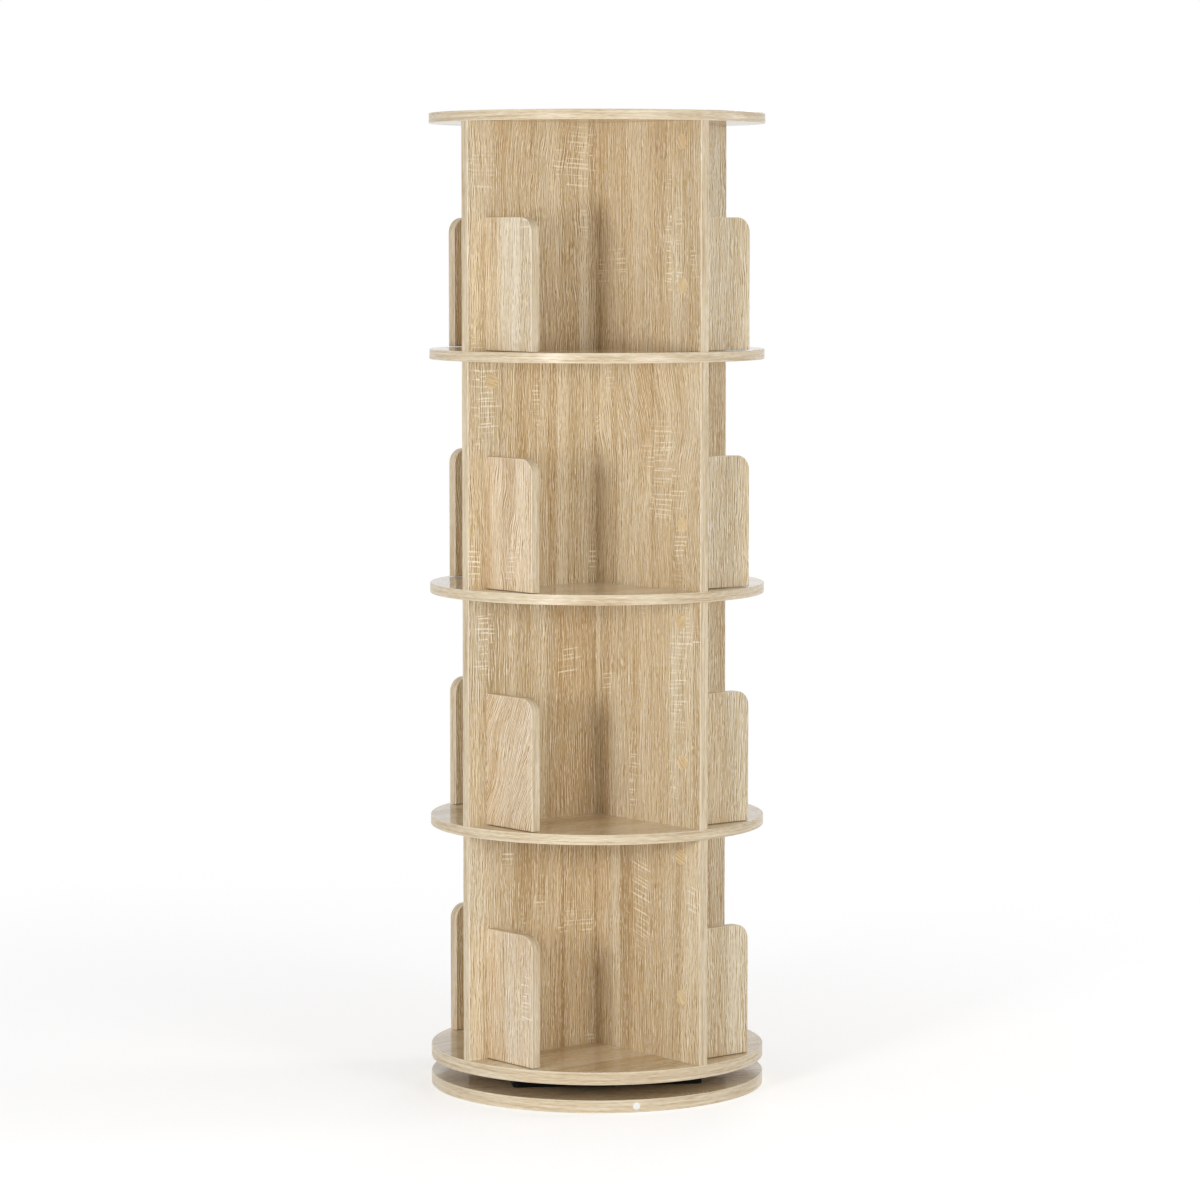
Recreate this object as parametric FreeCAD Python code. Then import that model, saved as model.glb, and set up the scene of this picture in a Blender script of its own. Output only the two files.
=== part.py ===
import FreeCAD, Part
import math
import os

# Revolving bookcase: a fixed round base, a ball turntable on it, and a carousel of four tiers.
# Millimetres, +Z up, origin at the centre of the base's underside, arms of the cross along X and Y.

# Boards
disc_diameter = 400.0
thin_board = 12.0
thick_board = 15.0
eased_edge = 0.8
tier_count = 4
upright_height = 267.0
upright_rim_gap = 1.5

# Dividers
divider_setback = 26.5
divider_height = 155.0
divider_rim_gap = 5.0
divider_floor_gap = 0.6
divider_corner_radius = 18.0

# Turntable plates
turntable_height = 18.0
plate_side = 225.0
plate_corner_radius = 6.0
plate_bend_radius = 1.5
plate_sheet = 2.0
plate_gap = 1.2
base_turn_degrees = -32.4

# Ball race
race_inset = 22.5
ball_diameter = 6.0
ball_count = 24
ball_clearance = 0.3
race_side_play = 1.0
cage_thickness = 0.6
cage_width = 14.0
pocket_clearance = 0.2

# Centre rivet
rivet_diameter = 8.0
rivet_head_diameter = 14.0
rivet_head_height = 2.0
rivet_fit = 0.05
rivet_end_play = 0.3

# Turntable screws
plate_screw_inset = 18.0
plate_screw_diameter = 4.0
plate_screw_length = 12.0
plate_screw_head_diameter = 8.0
plate_screw_head_height = 2.4
cup_clearance = 1.5
access_hole_diameter = 16.0

# Wood screws
wood_screw_diameter = 4.0
wood_screw_length = 35.0
wood_screw_head_diameter = 7.5
wood_screw_head_height = 2.4
wood_screw_sink = 0.3
upright_screw_shares = (0.25, 0.65)
divider_screw_rise = 76.0

# Screw recesses and points
recess_width = 1.2
recess_length = 4.0
recess_depth = 1.4
screw_point_length = 4.0

# Dowels
dowel_diameter = 6.0
dowel_length = 20.0
blind_skin = 4.0
foot_dowel_share = 0.45
head_dowel_share = 0.35
divider_dowel_shares = (0.18, 0.82)

# Cam fittings
cam_diameter = 12.0
cam_skin = 2.5
cam_sink = 0.3
cam_drop = 24.0
cam_setback = 35.0
cam_bolt_diameter = 6.0
cam_bolt_skin = 3.0
cam_bolt_neck_diameter = 3.0
cam_bolt_head_diameter = 5.0
cam_bolt_head_length = 2.5
cam_bolt_past_centre = 1.5
cam_slot_clearance = 0.2

# Round covers and the label
cover_diameter = 18.0
cover_thickness = 0.4
label_diameter = 8.6
label_thickness = 0.2
label_glue = 0.05
label_turn_degrees = 244.3

# Fits and cuts
hole_clearance = 0.1
overrun = 1.0

full_turn = 360.0
half_turn = 180.0
quarter_turn = 90.0
arm_names = ("right", "rear", "left", "front")
shelf_names = ("bottom_shelf", "lower_shelf", "middle_shelf", "upper_shelf")
turned_tiers = (2,)

X = FreeCAD.Vector(1, 0, 0)
Y = FreeCAD.Vector(0, 1, 0)
Z = FreeCAD.Vector(0, 0, 1)
ORIGIN = FreeCAD.Vector(0, 0, 0)

disc_radius = disc_diameter / 2
arm_reach = disc_radius - upright_rim_gap
arm_side = thin_board / 2
carousel_floor = thick_board + turntable_height
race_height = thick_board + turntable_height / 2
race_radius = plate_side / 2 - race_inset
race_half_width = ball_diameter / 2 + race_side_play
race_floor = plate_gap / 2 - ball_diameter / 2 - ball_clearance
plate_depth = (turntable_height - plate_gap) / 2
plate_screw_place = plate_side / 2 - plate_screw_inset
cup_bore = plate_screw_head_diameter + 2 * cup_clearance
divider_outer_face = arm_reach - divider_setback
divider_middle = divider_outer_face - thin_board / 2
divider_end = math.sqrt((disc_radius - divider_rim_gap) ** 2 - divider_outer_face ** 2)
divider_screw_height = divider_floor_gap + divider_screw_rise
dowel_in_face = thin_board - blind_skin
dowel_in_edge = dowel_length - dowel_in_face
cam_place = arm_reach - cam_setback
cam_depth = thin_board - cam_skin
cam_bolt_thread = thin_board - cam_bolt_skin


def at(x, y, z):
    return FreeCAD.Vector(x, y, z)


def tier_floor(tier):
    return carousel_floor + thick_board + tier * (upright_height + thin_board)


def floor_board(tier):
    return thick_board if tier == 0 else thin_board


def rod(diameter, length, foot, direction):
    return Part.makeCylinder(diameter / 2, length, foot, direction)


def turned(profile):
    """Solid of revolution about Z from (radius, height) points."""
    points = [at(radius, 0, height) for radius, height in profile]
    outline = Part.makePolygon(points + points[:1])
    return Part.Face(outline).revolve(ORIGIN, Z, full_turn)


def placed(shape, foot, direction):
    """Copy of a piece made along +Z, moved to its foot and turned to a direction."""
    copy = shape.copy()
    copy.Placement = FreeCAD.Placement(foot, FreeCAD.Rotation(Z, direction))
    return copy


def on_arm(shape, arm):
    """Copy of a piece made for the arm along +X, turned to the given arm."""
    copy = shape.copy()
    copy.rotate(ORIGIN, Z, arm * quarter_turn)
    return copy


def raised(shape, height):
    copy = shape.copy()
    copy.translate(Z * height)
    return copy


def cross_recess(top):
    """Driver recess that opens at the given height of a piece along Z."""
    low = top - recess_depth
    height = recess_depth + overrun
    along = Part.makeBox(recess_length, recess_width, height, at(-recess_length / 2, -recess_width / 2, low))
    across = Part.makeBox(recess_width, recess_length, height, at(-recess_width / 2, -recess_length / 2, low))
    return along.fuse(across)


def eased(board, edges):
    return board.makeFillet(eased_edge, edges)


def round_board(thickness):
    """Disc with its two rims eased, its underside at zero."""
    board = Part.makeCylinder(disc_radius, thickness)
    rims = [edge for edge in board.Edges if isinstance(edge.Curve, Part.Circle)]
    return eased(board, rims)


# Fasteners, each made along +Z with its head's top at zero and its point below

def wood_screw():
    shank = wood_screw_diameter / 2
    head = wood_screw_head_diameter / 2
    profile = [
        (0, 0),
        (head, 0),
        (shank, -wood_screw_head_height),
        (shank, screw_point_length - wood_screw_length),
        (0, -wood_screw_length),
    ]
    return turned(profile).cut(cross_recess(0))


def wood_screw_hole():
    shank = wood_screw_diameter / 2 + hole_clearance
    head = wood_screw_head_diameter / 2 + hole_clearance
    profile = [
        (0, wood_screw_sink + overrun),
        (head, wood_screw_sink + overrun),
        (head, 0),
        (shank, -wood_screw_head_height),
        (shank, -wood_screw_length - hole_clearance),
        (0, -wood_screw_length - hole_clearance),
    ]
    return turned(profile)


def plate_screw():
    shank = plate_screw_diameter / 2
    head = plate_screw_head_diameter / 2
    profile = [
        (0, 0),
        (head - plate_screw_head_height / 2, 0),
        (head, -plate_screw_head_height / 2),
        (head, -plate_screw_head_height),
        (shank, -plate_screw_head_height),
        (shank, screw_point_length - plate_screw_length - plate_screw_head_height),
        (0, -plate_screw_length - plate_screw_head_height),
    ]
    return turned(profile).cut(cross_recess(0))


def plate_screw_hole():
    return rod(plate_screw_diameter + 2 * hole_clearance, plate_screw_length + hole_clearance, ORIGIN, -Z)


def dowel():
    pin = Part.makeCylinder(dowel_diameter / 2, dowel_length)
    rims = [edge for edge in pin.Edges if isinstance(edge.Curve, Part.Circle)]
    return pin.makeChamfer(eased_edge, rims)


def dowel_hole(depth, foot, direction):
    """Blind hole that starts outside the face and goes in by the dowel's depth."""
    bore = dowel_diameter + 2 * hole_clearance
    return rod(bore, depth + hole_clearance + overrun, foot - direction * overrun, direction)


# Cam fittings, the bolt hanging from zero along -Z, the cam's axis along Z with its slot towards +Y

def cam_bolt():
    thread = cam_bolt_diameter / 2
    neck = cam_bolt_neck_diameter / 2
    head = cam_bolt_head_diameter / 2
    head_low = -cam_drop - cam_bolt_past_centre
    profile = [
        (0, cam_bolt_thread),
        (thread, cam_bolt_thread),
        (thread, 0),
        (neck, 0),
        (neck, head_low + cam_bolt_head_length),
        (head, head_low + cam_bolt_head_length),
        (head, head_low),
        (0, head_low),
    ]
    return turned(profile)


def cam_lock():
    body = Part.makeCylinder(cam_diameter / 2, cam_depth - cam_sink)
    slot_side = cam_bolt_head_diameter + 2 * cam_slot_clearance
    slot_low = -cam_bolt_past_centre - cam_slot_clearance
    bolt_depth = cam_depth - thin_board / 2
    corner = at(-slot_side / 2, slot_low, bolt_depth - slot_side / 2)
    slot = Part.makeBox(slot_side, cam_diameter, slot_side, corner)
    return body.cut([slot, cross_recess(cam_depth - cam_sink)])


# Holes of one arm, made for the arm along +X on a tier whose floor is at zero

def screw_places():
    return [share * arm_reach for share in upright_screw_shares]


def foot_holes(board):
    """Screws that come up through the floor board, and the dowel in its upper face."""
    hole = wood_screw_hole()
    cuts = [placed(hole, at(place, 0, wood_screw_sink - board), -Z) for place in screw_places()]
    cuts.append(dowel_hole(dowel_in_edge, at(foot_dowel_share * arm_reach, 0, 0), Z))
    cuts.append(dowel_hole(dowel_in_face, at(foot_dowel_share * arm_reach, 0, 0), -Z))
    return cuts


def cam_facing(tier):
    """Way that a tier's cams face: the turned tier's face the dividers, and the others face away."""
    return Y if tier in turned_tiers else -Y


def cam_centre():
    return at(cam_place, 0, upright_height - cam_drop)


def head_holes(tier):
    """Cam, bolt and dowel at the top edge of the upright, and their holes in the board above."""
    top = upright_height
    facing = cam_facing(tier)
    bolt_bore = cam_bolt_diameter + 2 * hole_clearance
    cam_bore = cam_diameter + 2 * hole_clearance
    bolt_length = cam_drop + cam_bolt_thread + hole_clearance
    cuts = [rod(bolt_bore, bolt_length, cam_centre(), Z)]
    cuts.append(rod(cam_bore, cam_depth + overrun, cam_centre() + facing * (arm_side + overrun), -facing))
    cuts.append(dowel_hole(dowel_in_edge, at(head_dowel_share * arm_reach, 0, top), -Z))
    cuts.append(dowel_hole(dowel_in_face, at(head_dowel_share * arm_reach, 0, top), Z))
    return cuts


def divider_dowel_heights():
    return [divider_floor_gap + share * divider_height for share in divider_dowel_shares]


def divider_holes():
    """Screw through the upright into the divider's edge, and the two dowels beside it."""
    head = at(divider_middle, wood_screw_sink - arm_side, divider_screw_height)
    cuts = [placed(wood_screw_hole(), head, -Y)]
    for height in divider_dowel_heights():
        cuts.append(dowel_hole(dowel_in_face, at(divider_middle, arm_side, height), -Y))
        cuts.append(dowel_hole(dowel_in_edge, at(divider_middle, arm_side, height), Y))
    return cuts


def upright_holes(tier, arm):
    cuts = foot_holes(floor_board(tier)) + head_holes(tier) + divider_holes()
    return [on_arm(cut, arm) for cut in cuts]


# Boards

def standing_board(start, end):
    """Upright along X between two places, with the edges of its free ends eased."""
    board = Part.makeBox(end - start, thin_board, upright_height, at(start, -arm_side, 0))
    corners = []
    for edge in board.Edges:
        upright_edge = edge.BoundBox.ZLength > thin_board
        free_end = abs(edge.BoundBox.Center.x) > arm_reach - eased_edge
        if upright_edge and free_end:
            corners.append(edge)
    return eased(board, corners)


def wide_upright(tier):
    board = standing_board(-arm_reach, arm_reach)
    return raised(board.cut(upright_holes(tier, 0) + upright_holes(tier, 2)), tier_floor(tier))


def half_upright(tier, arm):
    board = on_arm(standing_board(arm_side, arm_reach), arm)
    return raised(board.cut(upright_holes(tier, arm)), tier_floor(tier))


def divider():
    """Book stop beside the arm along +X, with its free top corner rounded."""
    low = divider_floor_gap
    top = low + divider_height
    near = arm_side
    bend = divider_corner_radius
    inner_face = divider_outer_face - thin_board
    bend_middle = at(inner_face, divider_end - bend, top - bend) + (Y + Z) * (bend / math.sqrt(2))
    near_low = at(inner_face, near, low)
    far_low = at(inner_face, divider_end, low)
    far_top = at(inner_face, divider_end, top - bend)
    bend_top = at(inner_face, divider_end - bend, top)
    near_top = at(inner_face, near, top)
    outline = Part.Wire([
        Part.LineSegment(near_low, far_low).toShape(),
        Part.LineSegment(far_low, far_top).toShape(),
        Part.Arc(far_top, bend_middle, bend_top).toShape(),
        Part.LineSegment(bend_top, near_top).toShape(),
        Part.LineSegment(near_top, near_low).toShape(),
    ])
    board = Part.Face(outline).extrude(X * thin_board)
    rims = []
    for edge in board.Edges:
        on_side = edge.BoundBox.XLength < eased_edge
        seated = edge.BoundBox.YMax < near + eased_edge
        if on_side and not seated:
            rims.append(edge)
    return eased(board, rims).cut(divider_holes())


def carried_holes(tier):
    """Holes in the floor board of a tier for the uprights that stand on it."""
    cuts = []
    for arm in range(len(arm_names)):
        cuts += [on_arm(cut, arm) for cut in foot_holes(floor_board(tier))]
    return [raised(cut, tier_floor(tier)) for cut in cuts]


def ceiling_holes(tier):
    """Holes in the board above a tier for the fittings at the tops of its uprights."""
    cuts = []
    for arm in range(len(arm_names)):
        cuts += [on_arm(cut, arm) for cut in head_holes(tier)]
    return [raised(cut, tier_floor(tier)) for cut in cuts]


def plate_corners(turn_degrees):
    """The four screw places of a turntable plate that is turned about the axis."""
    turn = math.radians(turn_degrees)
    corners = []
    for along, across in ((1, 1), (-1, 1), (-1, -1), (1, -1)):
        x = plate_screw_place * (along * math.cos(turn) - across * math.sin(turn))
        y = plate_screw_place * (along * math.sin(turn) + across * math.cos(turn))
        corners.append((x, y))
    return corners


def base_disc():
    """Fixed base, with the plate's pilot holes and the hole that gives access to the upper screws."""
    hole = plate_screw_hole()
    pilot_top = thick_board + plate_sheet
    cuts = [placed(hole, at(x, y, pilot_top), Z) for x, y in plate_corners(base_turn_degrees)]
    access = rod(access_hole_diameter, thick_board + 2 * overrun, at(0, 0, -overrun), Z)
    access.translate(Y * (plate_screw_place * math.sqrt(2)))
    access.rotate(ORIGIN, Z, base_turn_degrees)
    return round_board(thick_board).cut(cuts + [access])


def tier_shelf(tier):
    """Floor board of a tier, drilled for what stands on it and for what holds it from below."""
    board = raised(round_board(floor_board(tier)), tier_floor(tier) - floor_board(tier))
    cuts = carried_holes(tier)
    if tier == 0:
        hole = plate_screw_hole()
        pilot_low = carousel_floor - plate_sheet
        cuts += [placed(hole, at(x, y, pilot_low), -Z) for x, y in plate_corners(0)]
    else:
        cuts += ceiling_holes(tier - 1)
    return board.cut(cuts)


def top_panel():
    last = tier_count - 1
    return raised(round_board(thin_board), tier_floor(last) + upright_height).cut(ceiling_holes(last))


# Turntable

def rounded_box(side, height, corner_radius):
    box = Part.makeBox(side, side, height, at(-side / 2, -side / 2, -height))
    corners = [edge for edge in box.Edges if edge.BoundBox.ZLength > height / 2]
    return box.makeFillet(corner_radius, corners)


def race_ring(half_width, top, floor):
    """Ring of rectangular section on the race's circle."""
    inner = race_radius - half_width
    outer = race_radius + half_width
    return turned([(inner, top), (outer, top), (outer, floor), (inner, floor)])


def turntable_plate():
    """Pressed square pan, its ball race up at zero and its rim down, with a cup for each screw."""
    shell = rounded_box(plate_side, plate_depth, plate_corner_radius)
    bends = [edge for edge in shell.Edges if edge.BoundBox.ZMin > -plate_bend_radius]
    shell = shell.makeFillet(plate_bend_radius, bends)
    inside = rounded_box(plate_side - 2 * plate_sheet, plate_depth, plate_corner_radius - plate_sheet)
    pan = shell.cut(raised(inside, -plate_sheet))
    channel = race_ring(race_half_width + plate_sheet, 0, race_floor - plate_sheet)
    cups = []
    hollows = [race_ring(race_half_width, overrun, race_floor)]
    hollows.append(rod(rivet_diameter + 2 * rivet_fit, 2 * plate_depth, -Z * plate_depth, Z))
    for x, y in plate_corners(0):
        foot = at(x, y, -plate_depth)
        cups.append(rod(cup_bore + 2 * plate_sheet, plate_depth, foot, Z))
        hollows.append(rod(cup_bore, plate_depth, foot + Z * plate_sheet, Z))
        hollows.append(rod(plate_screw_diameter + 2 * hole_clearance, plate_depth, foot, Z))
    return pan.fuse([channel] + cups).cut(hollows).removeSplitter()


def lower_plate():
    plate = raised(turntable_plate(), race_height - plate_gap / 2)
    plate.rotate(ORIGIN, Z, base_turn_degrees)
    return plate


def upper_plate():
    plate = turntable_plate()
    plate.rotate(ORIGIN, X, half_turn)
    return raised(plate, race_height + plate_gap / 2)


def centre_rivet():
    """Rivet tight in the lower plate, with end play over the upper plate that turns on it."""
    shank = rivet_diameter / 2
    head = rivet_head_diameter / 2
    low = race_height - plate_gap / 2 - plate_sheet
    high = race_height + plate_gap / 2 + plate_sheet + rivet_end_play
    profile = [
        (0, low - rivet_head_height),
        (head, low - rivet_head_height),
        (head, low),
        (shank, low),
        (shank, high),
        (head, high),
        (head - rivet_head_height / 2, high + rivet_head_height),
        (0, high + rivet_head_height),
    ]
    return turned(profile)


def ball_places():
    step = 2 * math.pi / ball_count
    return [at(race_radius * math.cos(i * step), race_radius * math.sin(i * step), race_height)
            for i in range(ball_count)]


def bearing_balls():
    return Part.makeCompound([Part.makeSphere(ball_diameter / 2, place) for place in ball_places()])


def ball_cage():
    """Flat ring between the plates, with a pocket for each ball."""
    low = at(0, 0, race_height - cage_thickness / 2)
    ring = Part.makeCylinder(race_radius + cage_width / 2, cage_thickness, low, Z)
    bore = Part.makeCylinder(race_radius - cage_width / 2, cage_thickness, low, Z)
    pocket = ball_diameter + 2 * pocket_clearance
    cuts = [rod(pocket, 2 * overrun, place - Z * overrun, Z) for place in ball_places()]
    return ring.cut([bore] + cuts)


def plate_screws(turn_degrees, seat, direction):
    """Pan screws of one plate, their heads in its cups, driven along the given direction."""
    top = seat - direction * plate_screw_head_height
    places = [top + at(x, y, 0) for x, y in plate_corners(turn_degrees)]
    return Part.makeCompound([placed(plate_screw(), place, -direction) for place in places])


def label():
    """Blank round label on the rim of the base."""
    inside = Part.makeCylinder(disc_radius + label_glue, thick_board)
    sleeve = Part.makeCylinder(disc_radius + label_glue + label_thickness, thick_board).cut(inside)
    punch = rod(label_diameter, disc_radius + overrun, at(0, 0, thick_board / 2), X)
    spot = sleeve.common(punch)
    spot.rotate(ORIGIN, Z, label_turn_degrees)
    return spot


# Hardware groups

def every_arm(make_pieces):
    """Pieces that repeat on each arm of each tier, from a function of the tier."""
    group = []
    for tier in range(tier_count):
        for arm in range(len(arm_names)):
            group += [raised(on_arm(piece, arm), tier_floor(tier)) for piece in make_pieces(tier)]
    return Part.makeCompound(group)


def upright_screws(tier):
    head = wood_screw_sink - floor_board(tier)
    return [placed(wood_screw(), at(place, 0, head), -Z) for place in screw_places()]


def upright_dowels(tier):
    foot = at(foot_dowel_share * arm_reach, 0, -dowel_in_face)
    head = at(head_dowel_share * arm_reach, 0, upright_height + dowel_in_face)
    return [placed(dowel(), foot, Z), placed(dowel(), head, -Z)]


def cam_bolts(tier):
    return [placed(cam_bolt(), at(cam_place, 0, upright_height), Z)]


def cam_locks(tier):
    cam = cam_lock()
    cam.rotate(ORIGIN, X, quarter_turn)
    if tier in turned_tiers:
        cam.rotate(ORIGIN, Z, half_turn)
    cam.translate(cam_centre() - cam_facing(tier) * (cam_depth - arm_side))
    return [cam]


def divider_screws(tier):
    return [placed(wood_screw(), at(divider_middle, wood_screw_sink - arm_side, divider_screw_height), -Y)]


def divider_dowels(tier):
    foot = arm_side - dowel_in_face
    return [placed(dowel(), at(divider_middle, foot, height), Y) for height in divider_dowel_heights()]


def cam_covers(tier):
    facing = cam_facing(tier)
    return [rod(cover_diameter, cover_thickness, cam_centre() + facing * arm_side, facing)]


def screw_covers(tier):
    return [rod(cover_diameter, cover_thickness, at(divider_middle, -arm_side, divider_screw_height), -Y)]


nodes = {
    "base_disc": base_disc(),
    "base_label": label(),
    "turntable_lower_plate": lower_plate(),
    "turntable_lower_screws": plate_screws(base_turn_degrees, at(0, 0, thick_board + plate_sheet), -Z),
    "turntable_rivet": centre_rivet(),
    "turntable_ball_cage": ball_cage(),
    "turntable_balls": bearing_balls(),
    "turntable_upper_plate": upper_plate(),
    "turntable_upper_screws": plate_screws(0, at(0, 0, carousel_floor - plate_sheet), Z),
    "top_panel": top_panel(),
    "upright_screws": every_arm(upright_screws),
    "upright_dowels": every_arm(upright_dowels),
    "cam_bolts": every_arm(cam_bolts),
    "cam_locks": every_arm(cam_locks),
    "cam_covers": every_arm(cam_covers),
    "divider_screws": every_arm(divider_screws),
    "divider_dowels": every_arm(divider_dowels),
    "divider_screw_covers": every_arm(screw_covers),
}
for tier in range(tier_count):
    level = "tier_" + str(tier + 1)
    nodes[shelf_names[tier]] = tier_shelf(tier)
    nodes["upright_wide_" + level] = wide_upright(tier)
    nodes["upright_rear_" + level] = half_upright(tier, 1)
    nodes["upright_front_" + level] = half_upright(tier, 3)
    for arm, side in enumerate(arm_names):
        nodes["divider_" + side + "_" + level] = raised(on_arm(divider(), arm), tier_floor(tier))

os.makedirs("parts", exist_ok=True)
for name, shape in nodes.items():
    shape.exportStep("parts/" + name + ".step")
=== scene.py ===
import math

import bpy
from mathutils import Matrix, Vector


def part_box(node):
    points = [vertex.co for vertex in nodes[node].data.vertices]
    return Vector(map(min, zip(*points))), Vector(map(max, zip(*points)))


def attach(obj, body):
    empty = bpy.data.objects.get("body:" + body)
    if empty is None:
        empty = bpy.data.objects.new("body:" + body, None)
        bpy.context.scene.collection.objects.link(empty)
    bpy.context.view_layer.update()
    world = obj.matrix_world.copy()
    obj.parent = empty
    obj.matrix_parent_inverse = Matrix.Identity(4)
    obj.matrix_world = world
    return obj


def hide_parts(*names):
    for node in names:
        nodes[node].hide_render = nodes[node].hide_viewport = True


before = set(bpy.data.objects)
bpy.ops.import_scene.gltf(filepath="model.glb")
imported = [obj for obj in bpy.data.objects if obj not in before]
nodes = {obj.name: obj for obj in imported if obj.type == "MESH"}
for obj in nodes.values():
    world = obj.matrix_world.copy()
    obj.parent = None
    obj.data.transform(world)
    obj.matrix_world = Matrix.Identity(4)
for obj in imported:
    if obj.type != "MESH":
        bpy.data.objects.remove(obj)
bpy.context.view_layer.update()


# Base disc
# A round chipboard panel, 15 mm thick, with oak-print paper pressed on both faces.
# A strip of oak edge tape is glued round its rim, and its arrises are scraped round.

mm = 0.001


def add(tree, kind, feeds=(), give=0, **settings):
    """Puts one node in a tree, sets or links its inputs, and returns one of its outputs."""
    made = tree.nodes.new(kind)
    for name, value in settings.items():
        setattr(made, name, value)
    named = feeds.items() if isinstance(feeds, dict) else enumerate(feeds)
    for key, feed in named:
        if isinstance(feed, bpy.types.NodeSocket):
            tree.links.new(feed, made.inputs[key])
        else:
            made.inputs[key].default_value = feed
    return made.outputs[give]


def reckon(tree, operation, *feeds, clamp=False):
    return add(tree, "ShaderNodeMath", feeds, operation=operation, use_clamp=clamp)


def streaks(tree, place, across, along, detail=2.0, wander=0.0):
    """Noise drawn out along the grain: cells per metre across it and along it."""
    drawn = add(tree, "ShaderNodeVectorMath", (place, (across, along, 1.0)), operation="MULTIPLY")
    feeds = {"Vector": drawn, "Scale": 1.0, "Detail": detail, "Roughness": 0.55, "Distortion": wander}
    return add(tree, "ShaderNodeTexNoise", feeds, noise_dimensions="2D")


line_step = 0.8
break_low, break_high = 0.35, 0.65


def hatch(tree, place, lines, run, breaks):
    """Fine lines, so many to the metre, that come and go: breaks are cells across and along.
    What is wider than a line is taken out, so that the tone stays even."""
    beside = add(tree, "ShaderNodeVectorMath", (place, (line_step / lines, 0.0, 0.0)), operation="ADD")
    line = streaks(tree, place, lines, run, detail=0.0)
    line = reckon(tree, "SUBTRACT", line, streaks(tree, beside, lines, run, detail=0.0))
    shown = streaks(tree, place, *breaks, detail=0.0)
    shown = add(tree, "ShaderNodeMapRange", {"Value": shown, "From Min": break_low, "From Max": break_high})
    return reckon(tree, "MULTIPLY", line, shown)


def ease(tree, value, low, high):
    """0 below low, 1 above high, and a smooth step between them."""
    feeds = {"Value": value, "From Min": low, "From Max": high}
    return add(tree, "ShaderNodeMapRange", feeds, interpolation_type="SMOOTHSTEP")


def ramp(tree, value, stops):
    made = tree.nodes.new("ShaderNodeValToRGB")
    marks = made.color_ramp.elements
    while len(marks) < len(stops):
        marks.new(0.5)
    for mark, (at, colour) in zip(marks, stops):
        mark.position = at
        mark.color = (*colour, 1.0)
    tree.links.new(value, made.inputs[0])
    return made.outputs[0]


def blend_of(tree, share, one, other, kind="RGBA", way="MIX"):
    first, give = {"RGBA": (6, 2), "FLOAT": (2, 0)}[kind]
    feeds = {0: share, first: one, first + 1: other}
    settings = {"blend_type": way} if kind == "RGBA" else {}
    return add(tree, "ShaderNodeMix", feeds, give=give, data_type=kind, **settings)


def print_group(name, *controls):
    """A node group that takes a place on the printed sheet and gives a finish."""
    tree = bpy.data.node_groups.new(name, "ShaderNodeTree")
    face = tree.interface
    face.new_socket("Sheet", in_out="INPUT", socket_type="NodeSocketVector")
    for control in controls:
        face.new_socket(control, in_out="INPUT", socket_type="NodeSocketFloat")
    face.new_socket("Colour", in_out="OUTPUT", socket_type="NodeSocketColor")
    face.new_socket("Roughness", in_out="OUTPUT", socket_type="NodeSocketFloat")
    face.new_socket("Relief", in_out="OUTPUT", socket_type="NodeSocketFloat")
    return tree, add(tree, "NodeGroupInput").node.outputs


def give_out(tree, *finish):
    out = tree.nodes.new("NodeGroupOutput")
    for socket, feed in zip(out.inputs, finish):
        tree.links.new(feed, socket)


def lean(tree, value, weight, onto):
    """Adds what a noise has above or below its middle, times a weight."""
    return reckon(tree, "MULTIPLY_ADD", reckon(tree, "SUBTRACT", value, 0.5), weight, onto)


oak_tones = (
    (0.00, (0.420, 0.280, 0.142)),
    (0.30, (0.585, 0.440, 0.262)),
    (0.50, (0.690, 0.555, 0.360)),
    (0.70, (0.785, 0.680, 0.495)),
    (1.00, (0.900, 0.840, 0.710)),
)
honey_cast = (1.0, 0.950, 0.870, 1.0)
cream_cast = (0.970, 0.990, 1.0, 1.0)
blush_cast = (1.0, 0.955, 0.945, 1.0)
no_cast = (1.0, 1.0, 1.0, 1.0)

# The noises of the print, in cells to the metre: across the grain, then along it.
staves_per_metre, strips_per_metre, bars_per_metre = 24.0, 80.0, 165.0
whorl_cells, turn_cells = (7.0, 4.0), (6.0, 9.0)
sway_cells, waver_cells = (20.0, 7.0), (70.0, 50.0)
broad_cells, vein_cells, warmth_cells = (40.0, 4.0), (420.0, 4.0), (70.0, 5.0)
fine_cells, fine_breaks = (680.0, 13.0), (260.0, 42.0)
fleck_cells, fleck_breaks = (950.0, 24.0), (450.0, 130.0)
split_cells, open_cells = (20.0, 2.0), (14.0, 5.0)
bend_cells, fan_cells, strewn_cells = (40.0, 20.0), (4.0, 22.0), (20.0, 11.0)
gap_cells, clump_cells = (330.0, 40.0), (8.0, 45.0)

# How far the lines stray, and how much each layer lightens or darkens the paper.
sway_width, waver_width, whorl_width = 5.0 * mm, 2.4 * mm, 45.0 * mm
whorl_band, chance_whorl = (0.66, 0.80), 0.45
tone_weight, strip_weight, broad_weight, vein_weight = 0.38, 0.10, 0.34, 0.14
fine_weight, fleck_weight = 1.2, 2.3
ring_spacing, ring_stray, ring_band, ring_weight = 9.0 * mm, 9.0, (0.50, 0.98), -0.08
split_band, open_band, split_weight, sawn_split_weight = (0.002, 0.010), (0.56, 0.66), 0.14, 0.16
warmth_gain, warmth_base, warmth_share = 1.6, -0.3, 0.5
paper_rough, paper_polish = 0.14, -0.04

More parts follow.
